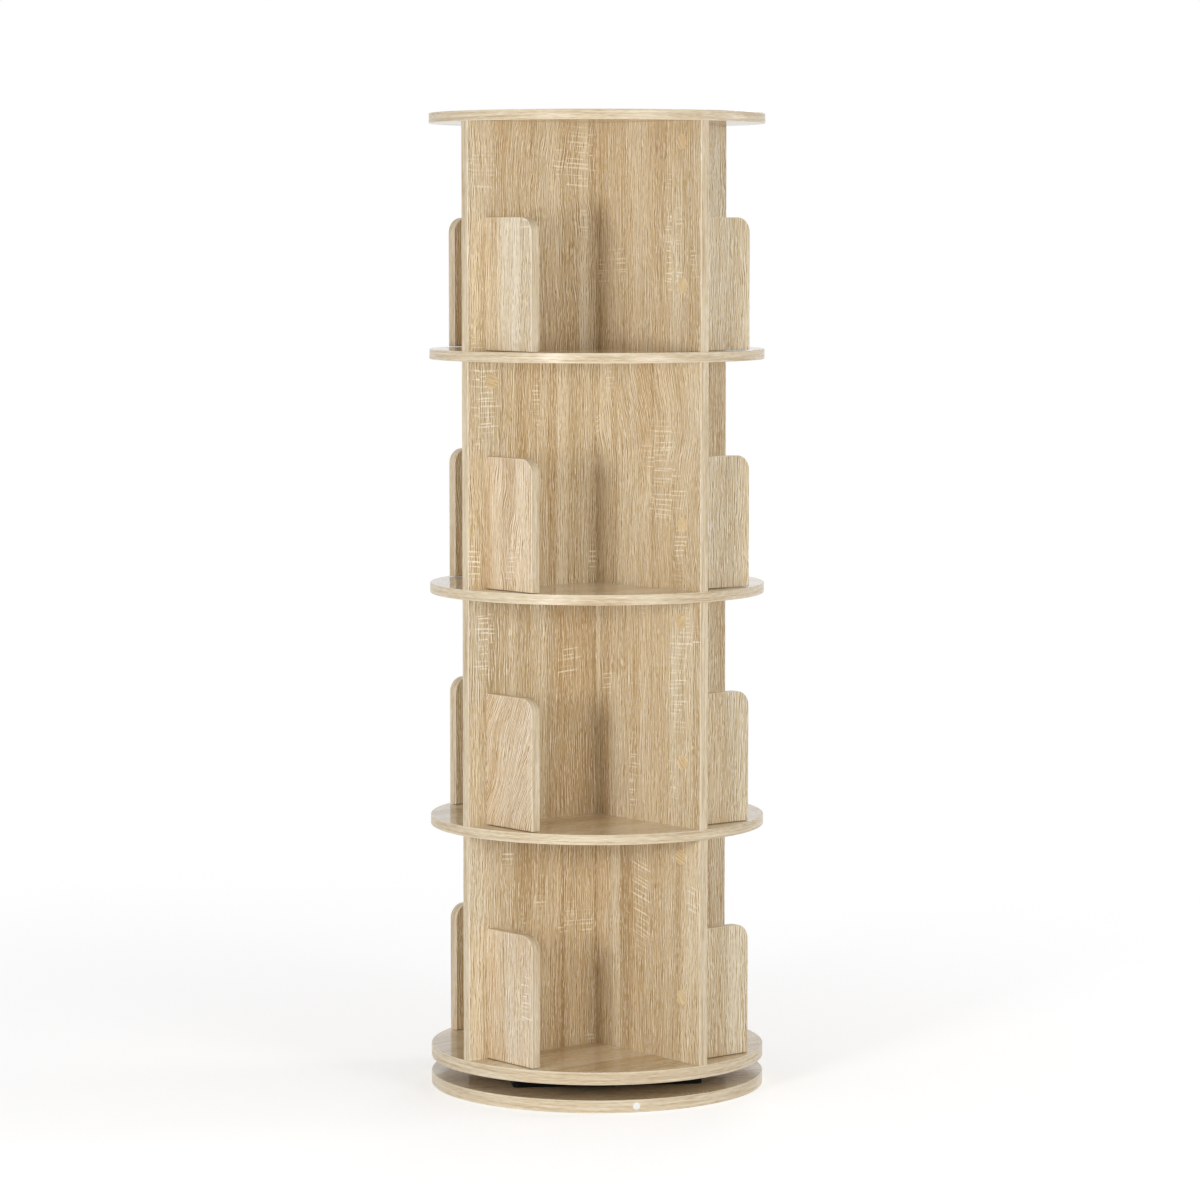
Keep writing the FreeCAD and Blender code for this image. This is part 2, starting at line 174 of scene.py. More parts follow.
# The bars of the saw marks: their lie, thickness, length, breaks and lightness.
bar_tilt, bar_sway, bar_fan, bar_scatter = 0.10, 1.5 * mm, 6.0 * mm, 0.75
bar_core, thin_bar, thicker_bar = 0.02, 0.11, 0.16
bar_shift, short_bar, longer_bar, bar_taper = 0.6, 0.5, 0.7, 0.3
strewn_start, strewn_spread, strewn_full, marked_band = 0.57, 0.12, 0.76, (0.64, 0.72)
gap_band, clump_band = (0.38, 0.56), (0.38, 0.60)
faint_bar, stronger_bar, in_gap, off_gap, off_clump, in_clump = 0.4, 0.6, 0.4, 0.6, 0.60, 0.55
saw_weight = 1.10


def oak_print():
    """The printed oak paper, with x across the grain and y along it, in metres."""
    tree, given = print_group("oak_print", "Sawn", "Reach", "Tilt", "Lift", "Figured", "Slant", "Blush")
    sheet = given["Sheet"]
    across, along = add(tree, "ShaderNodeSeparateXYZ", (sheet,)).node.outputs[:2]

    # The picture is of narrow staves, each with a tone of its own.
    feeds = {"W": across, "Scale": staves_per_metre, "Randomness": 1.0}
    stave = add(tree, "ShaderNodeTexVoronoi", feeds, give="Color", voronoi_dimensions="1D")
    tone, hue, marked = add(tree, "ShaderNodeSeparateColor", (stave,)).node.outputs

    # The growth rings sway as they climb, and lean over where the wood is figured.
    whorl = ease(tree, streaks(tree, sheet, *whorl_cells, detail=0.0), *whorl_band)
    whorl = reckon(tree, "MAXIMUM", reckon(tree, "MULTIPLY", whorl, chance_whorl), given["Figured"])
    turn = reckon(tree, "SUBTRACT", streaks(tree, sheet, *turn_cells, detail=0.0), 0.5)
    turn = reckon(tree, "MULTIPLY", turn, whorl_width)
    sway = lean(tree, streaks(tree, sheet, *sway_cells, detail=0.0), sway_width, across)
    sway = lean(tree, streaks(tree, sheet, *waver_cells, detail=0.0), waver_width, sway)
    sway = reckon(tree, "MULTIPLY_ADD", turn, whorl, sway)
    sway = reckon(tree, "MULTIPLY_ADD", along, given["Slant"], sway)
    place = add(tree, "ShaderNodeCombineXYZ", (sway, along, 0.0))

    # Strips within the staves, slow changes of tone, long veins, fine lines and flecks of pore.
    feeds = {"W": sway, "Scale": strips_per_metre, "Randomness": 1.0}
    strip = add(tree, "ShaderNodeTexVoronoi", feeds, give="Color", voronoi_dimensions="1D")
    strip = add(tree, "ShaderNodeSeparateColor", (strip,))
    broad = streaks(tree, place, *broad_cells, detail=0.0)
    vein = streaks(tree, place, *vein_cells, detail=0.0)
    fine = hatch(tree, place, *fine_cells, fine_breaks)
    fleck = hatch(tree, place, *fleck_cells, fleck_breaks)
    # Lift shifts the whole tone: the board's own stave tones, and painted light and shade for how the board
    # is lit.
    sums = reckon(tree, "ADD", given["Lift"], 0.5)
    sums = lean(tree, tone, tone_weight, sums)
    sums = lean(tree, strip, strip_weight, sums)
    sums = lean(tree, broad, broad_weight, sums)
    sums = lean(tree, vein, vein_weight, sums)
    sums = reckon(tree, "MULTIPLY_ADD", fine, fine_weight, sums)
    sums = reckon(tree, "MULTIPLY_ADD", fleck, fleck_weight, sums)

    # Dark ring lines in figured wood.
    stray = reckon(tree, "MULTIPLY", broad, ring_stray)
    phase = reckon(tree, "MULTIPLY_ADD", sway, math.tau / ring_spacing, stray)
    ring = ease(tree, reckon(tree, "SINE", phase), *ring_band)
    ring = reckon(tree, "MULTIPLY", ring, given["Figured"])
    sums = reckon(tree, "MULTIPLY_ADD", ring, ring_weight, sums)

    # A few long pale splits, here and there and in the patches of saw marks.
    split = reckon(tree, "SUBTRACT", streaks(tree, place, *split_cells, detail=0.0), 0.5)
    split = ease(tree, reckon(tree, "ABSOLUTE", split), *split_band)
    split = reckon(tree, "SUBTRACT", 1.0, split)
    open_here = ease(tree, streaks(tree, sheet, *open_cells, detail=1.0), *open_band)
    open_here = reckon(tree, "MULTIPLY", open_here, split_weight)
    open_in_patch = reckon(tree, "MULTIPLY", given["Sawn"], sawn_split_weight)
    open_here = reckon(tree, "MAXIMUM", open_here, open_in_patch)
    sums = reckon(tree, "MULTIPLY_ADD", split, open_here, sums)

    # Saw marks: stacks of short pale bars across the grain. Each starts and ends where it likes.
    tilt = lean(tree, marked, bar_tilt, given["Tilt"])
    level = reckon(tree, "MULTIPLY_ADD", across, tilt, along)
    level = lean(tree, streaks(tree, sheet, *bend_cells, detail=1.0), bar_sway, level)
    fan = lean(tree, streaks(tree, sheet, *fan_cells, detail=0.0), bar_fan, 0.0)
    level = reckon(tree, "MULTIPLY_ADD", given["Reach"], fan, level)
    feeds = {"W": level, "Scale": bars_per_metre, "Randomness": bar_scatter}
    apart = add(tree, "ShaderNodeTexVoronoi", feeds, give="Distance", voronoi_dimensions="1D")
    own = add(tree, "ShaderNodeSeparateColor", (apart.node.outputs["Color"],)).node.outputs
    thick = reckon(tree, "MULTIPLY_ADD", own[1], thicker_bar, thin_bar)
    bar = reckon(tree, "SUBTRACT", 1.0, ease(tree, apart, bar_core, thick))
    shift = reckon(tree, "MULTIPLY_ADD", own[0], bar_shift, -bar_shift / 2)
    aside = reckon(tree, "SUBTRACT", given["Reach"], shift)
    half = reckon(tree, "MULTIPLY_ADD", own[1], longer_bar, short_bar)
    inner = reckon(tree, "MULTIPLY", half, bar_taper)
    placed = ease(tree, reckon(tree, "ABSOLUTE", aside), half, inner)
    placed = reckon(tree, "MULTIPLY", placed, given["Sawn"])
    start = reckon(tree, "MULTIPLY_ADD", own[0], strewn_spread, strewn_start)
    strewn = ease(tree, streaks(tree, sheet, *strewn_cells, detail=1.0), start, strewn_full)
    strewn = reckon(tree, "MULTIPLY", strewn, ease(tree, marked, *marked_band))
    sawn = reckon(tree, "MAXIMUM", placed, strewn)

    # A bar is strong or faint, broken by the grain, and paler where the bars clump.
    weight = reckon(tree, "MULTIPLY_ADD", own[2], stronger_bar, faint_bar)
    gaps = ease(tree, streaks(tree, place, *gap_cells), *gap_band)
    gaps = reckon(tree, "MULTIPLY_ADD", gaps, off_gap, in_gap)
    weight = reckon(tree, "MULTIPLY", gaps, weight)
    clump = ease(tree, streaks(tree, sheet, *clump_cells, detail=0.0), *clump_band)
    clump = reckon(tree, "MULTIPLY_ADD", clump, in_clump, off_clump)
    weight = reckon(tree, "MULTIPLY", clump, weight)
    saw = reckon(tree, "MULTIPLY", reckon(tree, "MULTIPLY", bar, sawn), weight)
    sums = reckon(tree, "MULTIPLY_ADD", saw, saw_weight, sums, clamp=True)

    # The colour leans to honey or cream from stave to stave, and to pink on some boards.
    colour = ramp(tree, sums, oak_tones)
    warmth = streaks(tree, place, *warmth_cells, detail=1.0)
    warmth = reckon(tree, "MULTIPLY_ADD", warmth, warmth_gain, warmth_base)
    warmth = reckon(tree, "MULTIPLY", warmth, warmth_share)
    warmth = reckon(tree, "MULTIPLY_ADD", hue, 1.0 - warmth_share, warmth, clamp=True)
    cast = blend_of(tree, warmth, honey_cast, cream_cast)
    colour = blend_of(tree, 1.0, colour, cast, way="MULTIPLY")
    cast = blend_of(tree, given["Blush"], no_cast, blush_cast)
    colour = blend_of(tree, 1.0, colour, cast, way="MULTIPLY")
    rough = reckon(tree, "MULTIPLY_ADD", sums, paper_polish, paper_rough)
    relief = reckon(tree, "ADD", fleck, fine)
    give_out(tree, colour, rough, relief)
    return tree


oak_paper = oak_print()

tape_tones = (
    (0.00, (0.450, 0.320, 0.185)),
    (0.35, (0.605, 0.475, 0.312)),
    (0.55, (0.690, 0.570, 0.395)),
    (1.00, (0.825, 0.745, 0.590)),
)
tape_broad_cells, tape_vein_cells = (90.0, 5.0), (330.0, 9.0)
tape_fine_cells, tape_fine_wander, tape_fleck_cells = (620.0, 16.0), 0.2, (950.0, 75.0)
tape_broad_weight, tape_vein_weight, tape_fine_weight, tape_fleck_weight = 0.35, 0.55, 0.80, 0.75
tape_rough, tape_polish = 0.36, -0.08
tape_fine_relief, tape_fleck_relief = 0.6, 0.4


def oak_tape():
    """The edge tape, with x across the board's thickness and y along the edge."""
    tree, given = print_group("oak_tape", "Lift")
    place = given["Sheet"]
    broad = streaks(tree, place, *tape_broad_cells)
    fine = streaks(tree, place, *tape_fine_cells, wander=tape_fine_wander)
    fleck = streaks(tree, place, *tape_fleck_cells, detail=1.0)
    vein = streaks(tree, place, *tape_vein_cells, detail=0.0)
    # Lift shifts the tape's tone; on the base it is painted light.
    sums = reckon(tree, "ADD", given["Lift"], 0.5)
    sums = lean(tree, broad, tape_broad_weight, sums)
    sums = lean(tree, vein, tape_vein_weight, sums)
    sums = lean(tree, fine, tape_fine_weight, sums)
    sums = lean(tree, fleck, tape_fleck_weight, sums)
    colour = ramp(tree, sums, tape_tones)
    rough = reckon(tree, "MULTIPLY_ADD", sums, tape_polish, tape_rough)
    relief = reckon(tree, "MULTIPLY", fleck, tape_fleck_relief)
    relief = reckon(tree, "MULTIPLY_ADD", fine, tape_fine_relief, relief)
    give_out(tree, colour, rough, relief)
    return tree


edge_tape = oak_tape()

paper_lap = 0.35 * mm
grain_depth, grain_strength = 0.05 * mm, 0.6
face_apart = 2.3
melamine_gloss = 0.35


def new_finish(name):
    finish = bpy.data.materials.new(name)
    finish.use_nodes = True
    tree = finish.node_tree
    tree.nodes.clear()
    return finish, tree


def fill(tree, group, feeds):
    """Puts a node group in a tree and feeds its inputs."""
    made = tree.nodes.new("ShaderNodeGroup")
    made.node_tree = group
    for name, feed in feeds.items():
        if isinstance(feed, bpy.types.NodeSocket):
            tree.links.new(feed, made.inputs[name])
        else:
            made.inputs[name].default_value = feed
    return made.outputs


def close_finish(tree, shader):
    tree.links.new(shader, tree.nodes.new("ShaderNodeOutputMaterial").inputs["Surface"])


# The painted arris highlight: its band in from the rim and the face, its share and its pale colour.
arris_near, arris_far = 0.3 * mm, 1.1 * mm
arris_highlight_share = 0.5
arris_highlight = (0.86, 0.775, 0.61, 1.0)


def board_finish(name, low, high, through, maps, cut, marks, tape_painted_light=0.0):
    """Oak paper on a board's two faces and oak tape on its edges. through is the axis of its thickness.
    maps gives a place on the paper, a place on the tape, and how far in from the board's outline it is."""
    finish, tree = new_finish(name)
    spot = add(tree, "ShaderNodeTexCoord", give="Object")
    axes = add(tree, "ShaderNodeSeparateXYZ", (spot,)).node.outputs
    middle = (low[through] + high[through]) / 2
    half = (high[through] - low[through]) / 2
    depth = reckon(tree, "ABSOLUTE", reckon(tree, "SUBTRACT", axes[through], middle))
    on_edge = reckon(tree, "LESS_THAN", depth, half - paper_lap)
    far_face = reckon(tree, "GREATER_THAN", axes[through], middle)
    on_paper, on_tape, inset = maps(tree, spot, axes)
    moved = add(tree, "ShaderNodeCombineXYZ", (reckon(tree, "MULTIPLY", far_face, face_apart), 0.0, 0.0))
    sheet = add(tree, "ShaderNodeVectorMath", (on_paper, moved), operation="ADD")
    sheet = add(tree, "ShaderNodeVectorMath", (sheet, cut), operation="ADD")
    tape = add(tree, "ShaderNodeVectorMath", (on_tape, cut), operation="ADD")
    paper = fill(tree, oak_paper, {"Sheet": sheet, **marks(tree, axes, far_face)})
    # tape_painted_light lightens or darkens the whole tape as painted light.
    strip = fill(tree, edge_tape, {"Sheet": tape, "Lift": tape_painted_light})

    # A paler line along each arris: a painted highlight where the rounded arris would catch the light.
    near_rim = reckon(tree, "SUBTRACT", 1.0, ease(tree, inset, arris_near, arris_far))
    near_face = ease(tree, depth, half - arris_far, half - arris_near)
    arris_highlight_mask = reckon(tree, "MULTIPLY", reckon(tree, "MINIMUM", near_rim, near_face), arris_highlight_share)
    colour = blend_of(tree, on_edge, paper["Colour"], strip["Colour"])
    relief = blend_of(tree, on_edge, paper["Relief"], strip["Relief"], "FLOAT")
    grain = {"Strength": grain_strength, "Distance": grain_depth, "Height": relief}
    feeds = {
        "Base Color": blend_of(tree, arris_highlight_mask, colour, arris_highlight),
        "Roughness": blend_of(tree, on_edge, paper["Roughness"], strip["Roughness"], "FLOAT"),
        "Normal": add(tree, "ShaderNodeBump", grain),
        "Specular IOR Level": melamine_gloss,
    }
    close_finish(tree, add(tree, "ShaderNodeBsdfPrincipled", feeds))
    return finish


def wear(node, finish):
    slots = nodes[node].data.materials
    slots.clear()
    slots.append(finish)


rear_bearing = math.radians(50.92)


def disc_finish(node, grain, cut, lift=(0.0, 0.0), tape_painted_light=0.0):
    """A round board, with its grain turned to an angle. lift shifts the tone of its lower and upper face,
    and tape_painted_light that of its tape: both are painted light and shade. The tape meets end to end at
    the rear, where the angle starts again."""
    low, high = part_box(node)
    radius = (high.x - low.x) / 2

    def maps(tree, spot, axes):
        turn = (0.0, 0.0, math.pi / 2 - grain)
        paper = add(tree, "ShaderNodeMapping", {"Vector": spot, "Rotation": turn})
        flat = add(tree, "ShaderNodeCombineXYZ", (axes[0], axes[1], 0.0))
        reach = add(tree, "ShaderNodeVectorMath", (flat,), give="Value", operation="LENGTH")
        turn = (0.0, 0.0, math.pi - rear_bearing)
        turned = add(tree, "ShaderNodeMapping", {"Vector": flat, "Rotation": turn})
        apart = add(tree, "ShaderNodeSeparateXYZ", (turned,)).node.outputs
        around = reckon(tree, "MULTIPLY", reckon(tree, "ARCTAN2", apart[1], apart[0]), radius)
        tape = add(tree, "ShaderNodeCombineXYZ", (axes[2], around, 0.0))
        return paper, tape, reckon(tree, "SUBTRACT", radius, reach)

    def marks(tree, axes, far_face):
        return {"Lift": blend_of(tree, far_face, *lift, "FLOAT")}

    wear(node, board_finish(f"{node}_oak", low, high, 2, maps, cut, marks, tape_painted_light))


base_turn = math.radians(-32.4)
base_cut = (0.41, 0.17, 0.0)
# Painted shade: the base's upper face, which lies under the bottom shelf, is darkened a little all over.
# Painted light: its rim tape, low by the floor, is lightened.
base_painted_shade, base_tape_painted_light = (0.0, -0.06), 0.10
disc_finish("base_disc", base_turn, base_cut, base_painted_shade, base_tape_painted_light)


# Base label
# A small round paper label on the front of the base's rim, left blank.
# It is die-cut, and lies against the curve of the edge tape.

mottle_low, mottle_high = 0.3, 0.7
mottle_rough = 0.2


def mottled_finish(name, scale, dark, light, rough, relief, depth):
    """A plain stuff, mottled between two tones, that is roughest where it is lightest."""
    finish, tree = new_finish(name)
    spot = add(tree, "ShaderNodeTexCoord", give="Object")
    mottle = add(tree, "ShaderNodeTexNoise", {"Vector": spot, "Scale": scale, "Detail": 3.0})
    feeds = {
        "Base Color": ramp(tree, mottle, ((mottle_low, dark), (mottle_high, light))),
        "Roughness": reckon(tree, "MULTIPLY_ADD", mottle, mottle_rough, rough),
        "Normal": add(tree, "ShaderNodeBump", {"Strength": relief, "Distance": depth, "Height": mottle}),
    }
    close_finish(tree, add(tree, "ShaderNodeBsdfPrincipled", feeds))
    return finish


label_paper = mottled_finish(
    "label_paper", scale=1800.0, dark=(0.84, 0.84, 0.83), light=(0.92, 0.92, 0.91),
    rough=0.5, relief=0.3, depth=0.03 * mm,
)
wear("base_label", label_paper)


# Turntable
# Two square pressed-steel pans, black powder-coated, with a ring of balls between them.
# A rivet at the centre holds them together, and four screws fix each to its board.

coat_tones = ((0.30, (0.003, 0.0028, 0.0026)), (0.75, (0.008, 0.0075, 0.0070)))
coat_rough, dusty_rough, coat_gloss = 0.45, 0.25, 0.1
peel_depth = 0.04 * mm


def black_finish():
    finish, tree = new_finish("black_powder_coat")
    spot = add(tree, "ShaderNodeTexCoord", give="Object")
    peel = add(tree, "ShaderNodeTexNoise", {"Vector": spot, "Scale": 900.0, "Detail": 2.0})
    dust = add(tree, "ShaderNodeTexNoise", {"Vector": spot, "Scale": 60.0, "Detail": 4.0})
    feeds = {
        "Base Color": ramp(tree, dust, coat_tones),
        "Roughness": reckon(tree, "MULTIPLY_ADD", dust, dusty_rough, coat_rough),
        "Normal": add(tree, "ShaderNodeBump", {"Strength": 0.4, "Distance": peel_depth, "Height": peel}),
        "Specular IOR Level": coat_gloss,
    }
    close_finish(tree, add(tree, "ShaderNodeBsdfPrincipled", feeds))
    return finish


black_coat = black_finish()
for pan in ("turntable_lower_plate", "turntable_upper_plate"):
    wear(pan, black_coat)


scratch_share, scratch_depth = 9.0, 0.02 * mm


def metal_finish(name, dull, bright, scale, low_rough, high_rough):
    """Bare metal with a bloom between two tones, and fine scratches."""
    finish, tree = new_finish(name)
    spot = add(tree, "ShaderNodeTexCoord", give="Object")
    bloom = add(tree, "ShaderNodeTexNoise", {"Vector": spot, "Scale": scale, "Detail": 4.0})
    feeds = {"Vector": spot, "Scale": scale * scratch_share, "Detail": 2.0}
    scratch = add(tree, "ShaderNodeTexNoise", feeds)
    bump = add(tree, "ShaderNodeBump", {"Strength": 0.2, "Distance": scratch_depth, "Height": scratch})
    rough = add(tree, "ShaderNodeMapRange", {"Value": bloom, "To Min": low_rough, "To Max": high_rough})
    colour = ramp(tree, bloom, ((mottle_low, dull), (mottle_high, bright)))
    feeds = {"Base Color": colour, "Metallic": 1.0, "Roughness": rough, "Normal": bump}
    close_finish(tree, add(tree, "ShaderNodeBsdfPrincipled", feeds))
    return finish


zinc_plate = metal_finish(
    "zinc_plate", dull=(0.50, 0.51, 0.53), bright=(0.68, 0.69, 0.71),
    scale=220.0, low_rough=0.25, high_rough=0.45,
)
for fixing in ("turntable_lower_screws", "turntable_upper_screws", "turntable_rivet"):
    wear(fixing, zinc_plate)
ball_steel = metal_finish(
    "ball_steel", dull=(0.58, 0.58, 0.59), bright=(0.66, 0.66, 0.67),
    scale=300.0, low_rough=0.08, high_rough=0.16,
)
wear("turntable_balls", ball_steel)
cage_plastic = mottled_finish(
    "cage_plastic", scale=90.0, dark=(0.62, 0.60, 0.55), light=(0.72, 0.70, 0.65),
    rough=0.35, relief=0.3, depth=0.03 * mm,
)
wear("turntable_ball_cage", cage_plastic)


# Shelves and top panel
# Round boards like the base: the bottom shelf is 15 mm thick, the others 12 mm.
# Their grain runs with the wide uprights.

shelf_cuts = {
    "bottom_shelf": (5.13, 0.42, 0.0),
    "lower_shelf": (9.71, 1.38, 0.0),
    "middle_shelf": (14.62, 2.27, 0.0),
    "upper_shelf": (19.02, 3.64, 0.0),
    "top_panel": (23.58, 4.19, 0.0),
}
# Painted light and shade on whole faces, lower face then upper: the lower and middle shelves' upper faces
# are lightened, the top panel's underside is darkened, and its upper face is lightened a little.
shelf_painted_light = {
    "lower_shelf": (0.0, 0.06),
    "middle_shelf": (0.0, 0.30),
    "top_panel": (-0.25, 0.06),
}
for shelf, cut in shelf_cuts.items():
    disc_finish(shelf, 0.0, cut, shelf_painted_light.get(shelf, (0.0, 0.0)))


# Uprights
# Each tier is a cross of three boards: one right across, and two halves butted to its faces.
# The grain stands upright, and the outer ends carry the edge tape.

corner_radius = 18.0 * mm
patch_fade, patch_spread = 0.35, 1.3
stave_joint = 0.8 * mm


def standing_finish(node, along_axis, cut, free_top=False, sawn=(), staves=(), tilt=0.0, lift=0.0, **looks):
    """A board that stands on a shelf. along_axis is 0 where it runs along X, and 1 along Y.
    sawn are patches of saw marks on its nearer face: from and to along it, then in height, in mm.
    staves are strips of that face with a tone of their own: from and to along it, and the shift.
    lift shifts the tone of the whole board, on both faces: it is painted light and shade."""
    low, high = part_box(node)
    reach = max(abs(low[along_axis]), abs(high[along_axis]))

    def maps(tree, spot, axes):
        paper = add(tree, "ShaderNodeCombineXYZ", (axes[along_axis], axes[2], 0.0))
        out = reckon(tree, "ABSOLUTE", axes[along_axis])
        round_corner = reckon(tree, "SUBTRACT", axes[2], out)
        tape = add(tree, "ShaderNodeCombineXYZ", (axes[1 - along_axis], round_corner, 0.0))
        over = reckon(tree, "MAXIMUM", reckon(tree, "SUBTRACT", out, reach - corner_radius), 0.0)
        if free_top:
            rise = reckon(tree, "SUBTRACT", axes[2], high.z - corner_radius)
            both = add(tree, "ShaderNodeCombineXYZ", (over, reckon(tree, "MAXIMUM", rise, 0.0), 0.0))
            over = add(tree, "ShaderNodeVectorMath", (both,), give="Value", operation="LENGTH")
        return paper, tape, reckon(tree, "SUBTRACT", corner_radius, over)

    def within(tree, value, first, last, soft):
        """1 from first to last, and a fade of width soft across each end."""
        off = reckon(tree, "ABSOLUTE", reckon(tree, "SUBTRACT", value, (first + last) / 2))
        half = abs(last - first) / 2
        return ease(tree, off, half + soft / 2, half - soft / 2)

    def marks(tree, axes, far_face):
        nearer = reckon(tree, "SUBTRACT", 1.0, far_face)
        cuts, across = 0.0, 0.0
        for first, last, foot, head in sawn:
            half = (last - first) / 2 * mm
            off = reckon(tree, "SUBTRACT", axes[along_axis], (first + last) / 2 * mm)
            off = reckon(tree, "DIVIDE", off, half)
            soft = (head - foot) * patch_fade * mm
            tall = within(tree, axes[2], low.z + foot * mm, low.z + head * mm, soft)
            here = reckon(tree, "LESS_THAN", reckon(tree, "ABSOLUTE", off), patch_spread)
            cuts = reckon(tree, "MULTIPLY_ADD", here, tall, cuts)
            across = reckon(tree, "MULTIPLY_ADD", off, here, across)
        tone = 0.0
        for first, last, shift in staves:
            strip = within(tree, axes[along_axis], first * mm, last * mm, stave_joint)
            tone = reckon(tree, "MULTIPLY_ADD", strip, shift, tone)
        # The staves are print; lift, added on both faces, is painted light and shade.
        tone = reckon(tree, "MULTIPLY_ADD", nearer, tone, lift)
        cuts = reckon(tree, "MULTIPLY", cuts, nearer)
        return {"Sawn": cuts, "Reach": across, "Tilt": tilt, "Lift": tone, **looks}

    finish = board_finish(f"{node}_oak", low, high, 1 - along_axis, maps, cut, marks)
    wear(node, finish)


# For each board: sawn and staves are print, and lift darkens or lightens the whole board as painted light
# and shade.
upright_looks = {
    "upright_wide_tier_4": {
        "sawn": ((-58.0, -7.0, 189.0, 259.0),),
        "staves": (
            (-130.0, -106.0, 0.10), (-106.0, -82.0, -0.15),
            (-62.0, -32.0, -0.18), (-32.0, -5.0, 0.12),
        ),
        "lift": -0.09,
        "Figured": 0.45,
    },
    "upright_front_tier_4": {
        "sawn": ((-150.0, -126.0, 188.0, 207.0), (-171.0, -122.0, 69.0, 161.0)),
        "staves": ((-53.0, -28.0, 0.15), (-15.0, -5.0, -0.15), (-198.0, -178.0, -0.20)),
    },
    "upright_wide_tier_3": {
        "sawn": ((-197.0, -154.0, 182.0, 263.0),),
        "staves": (
            (-147.0, -128.0, 0.16), (-104.0, -97.0, -0.12),
            (-80.0, -65.0, -0.20), (-65.0, -5.0, 0.10),
        ),
        "lift": -0.04,
    },
    "upright_front_tier_3": {
        "sawn": ((-159.0, -93.0, 84.0, 187.0), (-49.0, -15.0, 233.0, 257.0)),
        "staves": ((-34.0, -5.0, 0.20), (-84.0, -68.0, 0.13), (-198.0, -108.0, -0.18)),
        "Figured": 0.8,
    },
    "upright_wide_tier_2": {
        "sawn": ((-194.0, -156.0, 176.0, 251.0), (-70.0, -29.0, 170.0, 202.0)),
        "staves": (
            (-168.0, -152.0, -0.18), (-130.0, -106.0, -0.12),
            (-82.0, -44.0, -0.20), (-44.0, -5.0, -0.30),
        ),
    },
    "upright_front_tier_2": {
        "sawn": ((-175.0, -139.0, 119.0, 218.0), (-43.0, -15.0, 147.0, 175.0)),
        "staves": ((-30.0, -12.0, -0.24), (-108.0, -66.0, 0.12), (-198.0, -139.0, -0.12)),
    },
    "upright_wide_tier_1": {
        "staves": ((-131.0, -104.0, -0.18), (-60.0, -5.0, -0.30)),
    },
    "upright_front_tier_1": {
        "sawn": ((-112.0, -68.0, 124.0, 237.0), (-197.0, -173.0, 180.0, 211.0)),
        "staves": ((-37.0, -5.0, -0.18), (-76.0, -51.0, -0.36), (-165.0, -76.0, -0.22)),
        "tilt": -0.26,
        "lift": -0.03,
    },
}
# Painted light: the front uprights are lightened all over.
upright_painted_light = {"wide": 0.0, "rear": 0.0, "front": 0.03}
sheet_step, upright_sheet = (1.617, 0.731), 31.0
tiers = (1, 2, 3, 4)
for tier in tiers:
    for place, (board, along_axis) in enumerate((("wide", 0), ("rear", 1), ("front", 1))):
        node = f"upright_{board}_tier_{tier}"
        count = 3 * tier + place
        cut = (upright_sheet + sheet_step[0] * count, sheet_step[1] * count, 0.0)
        looks = {"lift": upright_painted_light[board], **upright_looks.get(node, {})}
        standing_finish(node, along_axis, cut, **looks)


# Dividers
# Short boards across the end of each arm, which stop the books, with one top corner rounded.
# Tape covers the top, the corner and the outer end; a screw and dowels hold them to the arm.

# For each divider: sawn, staves, Figured, Slant and Blush are print, and lift darkens or lightens the whole
# divider as painted light and shade.
divider_looks = {
    "divider_left_tier_4": {
        "staves": ((-28.0, -5.0, -0.14), (-71.0, -28.0, 0.08), (-93.0, -71.0, -0.20)),
        "lift": 0.05,
        "Figured": 0.6,
        "Blush": 0.3,
    },
    "divider_left_tier_3": {
        "sawn": ((-70.0, -41.0, 21.0, 50.0),),
        "staves": ((-63.0, -37.0, -0.28), (-93.0, -63.0, -0.06)),
        "lift": 0.06,
        "Blush": 0.9,
    },
    "divider_left_tier_2": {
        "staves": ((-46.0, -5.0, 0.08), (-93.0, -80.0, -0.08)),
        "lift": 0.09,
        "Figured": 0.8,
        "Slant": 0.32,
        "Blush": 1.0,
    },
    "divider_left_tier_1": {
        "sawn": ((-90.0, -68.0, 52.0, 115.0),),
        "staves": ((-37.0, -22.0, 0.14),),
        "lift": 0.07,
        "Blush": 0.9,
    },
    "divider_front_tier_2": {"lift": -0.15},
    "divider_front_tier_1": {"lift": -0.02},
}
# Painted light and shade for the other dividers, by arm: the rear ones darkened, the left and front ones
# lightened.
divider_painted_light = {"right": 0.0, "rear": -0.15, "left": 0.06, "front": 0.05}
divider_sheet = 83.0
for tier in tiers:
    for place, (arm, along_axis) in enumerate((("right", 1), ("rear", 0), ("left", 1), ("front", 0))):
        node = f"divider_{arm}_tier_{tier}"
        count = 4 * tier + place
        cut = (divider_sheet + sheet_step[0] * count, sheet_step[1] * count, 0.0)
        looks = divider_looks.get(node, {"lift": divider_painted_light[arm]})
        standing_finish(node, along_axis, cut, free_top=True, **looks)


# Joinery
# Wood screws, dowels and cam fittings inside the boards.
# The screws are zinc-plated, the cams are zinc castings, and the dowels are fluted beech.

for fixing in ("upright_screws", "divider_screws", "cam_bolts"):
    wear(fixing, zinc_plate)
cast_zinc = metal_finish(
    "cast_zinc", dull=(0.42, 0.42, 0.43), bright=(0.58, 0.58, 0.59),
    scale=160.0, low_rough=0.40, high_rough=0.60,
)
wear("cam_locks", cast_zinc)
beech = mottled_finish(
    "beech_dowel", scale=500.0, dark=(0.52, 0.36, 0.22), light=(0.66, 0.50, 0.33),
    rough=0.55, relief=0.4, depth=0.05 * mm,
)
for dowels in ("upright_dowels", "divider_dowels"):
    wear(dowels, beech)


# Covers
# Round stickers of oak-print film, die-cut, over the cams and over the divider screws.
# They are pressed on by hand, so each one's grain lies its own way.

cover_radius = 9.0 * mm
cover_thickness = 0.4 * mm
cover_edge = 0.15 * mm
cover_sides = 48
upper_share, rim_share, waist_share = 0.3, 0.99, 0.1


